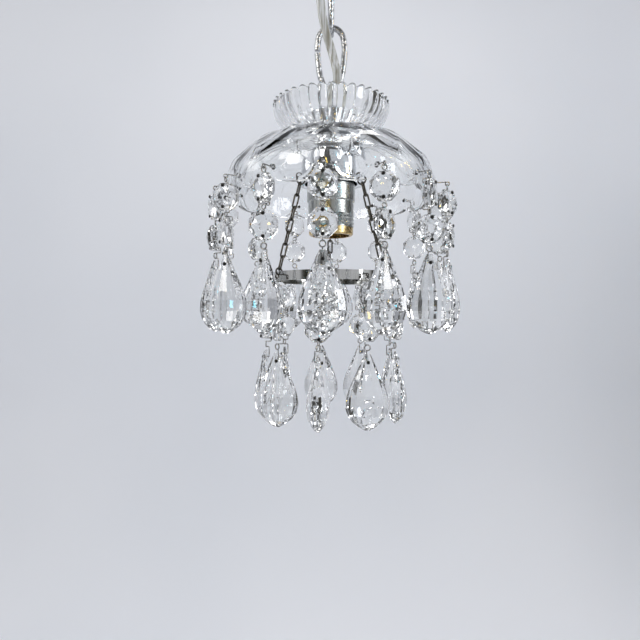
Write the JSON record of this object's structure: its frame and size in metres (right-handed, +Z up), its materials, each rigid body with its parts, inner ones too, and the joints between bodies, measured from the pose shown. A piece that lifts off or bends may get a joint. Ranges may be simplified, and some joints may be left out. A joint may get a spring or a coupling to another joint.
{
  "type": "pendant chandelier",
  "caption": "Small electric crystal pendant light: fluted glass cup and scalloped glass dome on chain links, with two tiers of bead and pear-drop strands round a lampholder",
  "frame": {"origin": "middle of the canopy's ceiling face", "axes": "+Z up, out of the ceiling face; the viewer's side is -Y and +X is the viewer's right"},
  "size_m": [0.182, 0.1797, 0.3688],
  "materials": {
    "chrome": "polished",
    "cord_pvc": "clear PVC over silvery conductors",
    "hammered_silver": "hammered, bright",
    "fluted_glass": "polished flutes",
    "pressed_glass": "pressed facets",
    "crystal": "cut and polished lead crystal",
    "silver_wire": "bright wire, blackened heads",
    "satin_nickel": "satin",
    "insulator": "moulded",
    "brass": "satin",
    "polished_nickel": "polished",
    "dark_wire": "blackened bronze"
  },
  "bodies": {
    "ceiling": {"ceiling_canopy": "chrome", "lamp_cord": "cord_pvc"},
    "upper_link": {"upper_link": "hammered_silver"},
    "lower_link": {"lower_link": "hammered_silver"},
    "pendant": {"hanging_stem": "chrome", "glass_cup": "fluted_glass", "glass_dome": "pressed_glass", "dome_hooks": "silver_wire", "holder_cap": "chrome", "socket_shell": "satin_nickel", "socket_core": "insulator", "screw_shell": "brass"},
    "lower_tier": {"lower_ring": "polished_nickel", "ring_chains_and_hooks": "dark_wire"},
    "upper_strand_01": {"upper_strand_01_crystals": "crystal", "upper_strand_01_pins": "silver_wire"},
    "upper_strand_02": {"upper_strand_02_crystals": "crystal", "upper_strand_02_pins": "silver_wire"},
    "upper_strand_03": {"upper_strand_03_crystals": "crystal", "upper_strand_03_pins": "silver_wire"},
    "upper_strand_04": {"upper_strand_04_crystals": "crystal", "upper_strand_04_pins": "silver_wire"},
    "upper_strand_05": {"upper_strand_05_crystals": "crystal", "upper_strand_05_pins": "silver_wire"},
    "upper_strand_06": {"upper_strand_06_crystals": "crystal", "upper_strand_06_pins": "silver_wire"},
    "upper_strand_07": {"upper_strand_07_crystals": "crystal", "upper_strand_07_pins": "silver_wire"},
    "upper_strand_08": {"upper_strand_08_crystals": "crystal", "upper_strand_08_pins": "silver_wire"},
    "upper_strand_09": {"upper_strand_09_crystals": "crystal", "upper_strand_09_pins": "silver_wire"},
    "upper_strand_10": {"upper_strand_10_crystals": "crystal", "upper_strand_10_pins": "silver_wire"},
    "upper_strand_11": {"upper_strand_11_crystals": "crystal", "upper_strand_11_pins": "silver_wire"},
    "upper_strand_12": {"upper_strand_12_crystals": "crystal", "upper_strand_12_pins": "silver_wire"},
    "upper_strand_13": {"upper_strand_13_crystals": "crystal", "upper_strand_13_pins": "silver_wire"},
    "upper_strand_14": {"upper_strand_14_crystals": "crystal", "upper_strand_14_pins": "silver_wire"},
    "lower_strand_01": {"lower_strand_01_crystals": "crystal", "lower_strand_01_pins": "silver_wire"},
    "lower_strand_02": {"lower_strand_02_crystals": "crystal", "lower_strand_02_pins": "silver_wire"},
    "lower_strand_03": {"lower_strand_03_crystals": "crystal", "lower_strand_03_pins": "silver_wire"},
    "lower_strand_04": {"lower_strand_04_crystals": "crystal", "lower_strand_04_pins": "silver_wire"},
    "lower_strand_05": {"lower_strand_05_crystals": "crystal", "lower_strand_05_pins": "silver_wire"},
    "lower_strand_06": {"lower_strand_06_crystals": "crystal", "lower_strand_06_pins": "silver_wire"},
    "lower_strand_07": {"lower_strand_07_crystals": "crystal", "lower_strand_07_pins": "silver_wire"},
    "lower_strand_08": {"lower_strand_08_crystals": "crystal", "lower_strand_08_pins": "silver_wire"},
    "lower_strand_09": {"lower_strand_09_crystals": "crystal", "lower_strand_09_pins": "silver_wire"}
  },
  "joints": [
    {"name": "canopy_loop_swing", "type": "hinge", "parent": "ceiling", "child": "upper_link", "pos_m": [0, 0, -0.0478], "axis": [1, 0, 0], "range_deg": [-12, 12], "deforming": ["lamp_cord"]},
    {"name": "link_swing", "type": "hinge", "parent": "upper_link", "child": "lower_link", "pos_m": [0, 0, -0.0888], "axis": [0, 1, 0], "range_deg": [-12, 12], "deforming": ["lamp_cord"]},
    {"name": "stem_loop_swing", "type": "hinge", "parent": "lower_link", "child": "pendant", "pos_m": [0, 0, -0.1295], "axis": [1, 0, 0], "range_deg": [-12, 12], "deforming": ["lamp_cord"]},
    {"name": "lower_tier_swing", "type": "hinge", "parent": "pendant", "child": "lower_tier", "pos_m": [0, 0, -0.19795], "axis": [0, 1, 0], "range_deg": [-2.5, 2.5]},
    {"name": "upper_strand_01_swing", "type": "hinge", "parent": "pendant", "child": "upper_strand_01", "pos_m": [-0.00651, -0.08274, -0.20395], "axis": [-0.9969, 0.0785, 0], "range_deg": [-3, 20]},
    {"name": "upper_strand_02_swing", "type": "hinge", "parent": "pendant", "child": "upper_strand_02", "pos_m": [0.03003, -0.07737, -0.20395], "axis": [-0.9322, -0.3619, 0], "range_deg": [-3, 20]},
    {"name": "upper_strand_03_swing", "type": "hinge", "parent": "pendant", "child": "upper_strand_03", "pos_m": [0.06063, -0.05668, -0.20395], "axis": [-0.6829, -0.7305, 0], "range_deg": [-3, 20]},
    {"name": "upper_strand_04_swing", "type": "hinge", "parent": "pendant", "child": "upper_strand_04", "pos_m": [0.07922, -0.02476, -0.20395], "axis": [-0.2983, -0.9545, 0], "range_deg": [-3, 20]},
    {"name": "upper_strand_05_swing", "type": "hinge", "parent": "pendant", "child": "upper_strand_05", "pos_m": [0.08212, 0.01206, -0.20395], "axis": [0.1453, -0.9894, 0], "range_deg": [-3, 20]},
    {"name": "upper_strand_06_swing", "type": "hinge", "parent": "pendant", "child": "upper_strand_06", "pos_m": [0.06875, 0.0465, -0.20395], "axis": [0.5602, -0.8283, 0], "range_deg": [-3, 20]},
    {"name": "upper_strand_07_swing", "type": "hinge", "parent": "pendant", "child": "upper_strand_07", "pos_m": [0.04177, 0.07172, -0.20395], "axis": [0.8641, -0.5032, 0], "range_deg": [-3, 20]},
    {"name": "upper_strand_08_swing", "type": "hinge", "parent": "pendant", "child": "upper_strand_08", "pos_m": [0.00651, 0.08274, -0.20395], "axis": [0.9969, -0.0785, 0], "range_deg": [-3, 20]},
    {"name": "upper_strand_09_swing", "type": "hinge", "parent": "pendant", "child": "upper_strand_09", "pos_m": [-0.03003, 0.07737, -0.20395], "axis": [0.9322, 0.3619, 0], "range_deg": [-3, 20]},
    {"name": "upper_strand_10_swing", "type": "hinge", "parent": "pendant", "child": "upper_strand_10", "pos_m": [-0.06063, 0.05668, -0.20395], "axis": [0.6829, 0.7305, 0], "range_deg": [-3, 20]},
    {"name": "upper_strand_11_swing", "type": "hinge", "parent": "pendant", "child": "upper_strand_11", "pos_m": [-0.07922, 0.02476, -0.20395], "axis": [0.2983, 0.9545, 0], "range_deg": [-3, 20]},
    {"name": "upper_strand_12_swing", "type": "hinge", "parent": "pendant", "child": "upper_strand_12", "pos_m": [-0.08212, -0.01206, -0.20395], "axis": [-0.1453, 0.9894, 0], "range_deg": [-3, 20]},
    {"name": "upper_strand_13_swing", "type": "hinge", "parent": "pendant", "child": "upper_strand_13", "pos_m": [-0.06875, -0.0465, -0.20395], "axis": [-0.5602, 0.8283, 0], "range_deg": [-3, 20]},
    {"name": "upper_strand_14_swing", "type": "hinge", "parent": "pendant", "child": "upper_strand_14", "pos_m": [-0.04177, -0.07172, -0.20395], "axis": [-0.8641, 0.5032, 0], "range_deg": [-3, 20]},
    {"name": "lower_strand_01_swing", "type": "hinge", "parent": "lower_tier", "child": "lower_strand_01", "pos_m": [-0.00906, -0.04663, -0.26765], "axis": [-0.9816, 0.1908, 0], "range_deg": [-3, 15]},
    {"name": "lower_strand_02_swing", "type": "hinge", "parent": "lower_tier", "child": "lower_strand_02", "pos_m": [0.02303, -0.04154, -0.26765], "axis": [-0.8746, -0.4848, 0], "range_deg": [-3, 15]},
    {"name": "lower_strand_03_swing", "type": "hinge", "parent": "lower_tier", "child": "lower_strand_03", "pos_m": [0.04435, -0.01702, -0.26765], "axis": [-0.3584, -0.9336, 0], "range_deg": [-3, 15]},
    {"name": "lower_strand_04_swing", "type": "hinge", "parent": "lower_tier", "child": "lower_strand_04", "pos_m": [0.04491, 0.01546, -0.26765], "axis": [0.3256, -0.9455, 0], "range_deg": [-3, 15]},
    {"name": "lower_strand_05_swing", "type": "hinge", "parent": "lower_tier", "child": "lower_strand_05", "pos_m": [0.02446, 0.04072, -0.26765], "axis": [0.8572, -0.515, 0], "range_deg": [-3, 15]},
    {"name": "lower_strand_06_swing", "type": "hinge", "parent": "lower_tier", "child": "lower_strand_06", "pos_m": [-0.00743, 0.04691, -0.26765], "axis": [0.9877, 0.1564, 0], "range_deg": [-3, 15]},
    {"name": "lower_strand_07_swing", "type": "hinge", "parent": "lower_tier", "child": "lower_strand_07", "pos_m": [-0.03585, 0.03116, -0.26765], "axis": [0.6561, 0.7547, 0], "range_deg": [-3, 15]},
    {"name": "lower_strand_08_swing", "type": "hinge", "parent": "lower_tier", "child": "lower_strand_08", "pos_m": [-0.04749, 0.00083, -0.26765], "axis": [0.0175, 0.9998, 0], "range_deg": [-3, 15]},
    {"name": "lower_strand_09_swing", "type": "hinge", "parent": "lower_tier", "child": "lower_strand_09", "pos_m": [-0.03691, -0.02989, -0.26765], "axis": [-0.6293, 0.7771, 0], "range_deg": [-3, 15]}
  ]
}
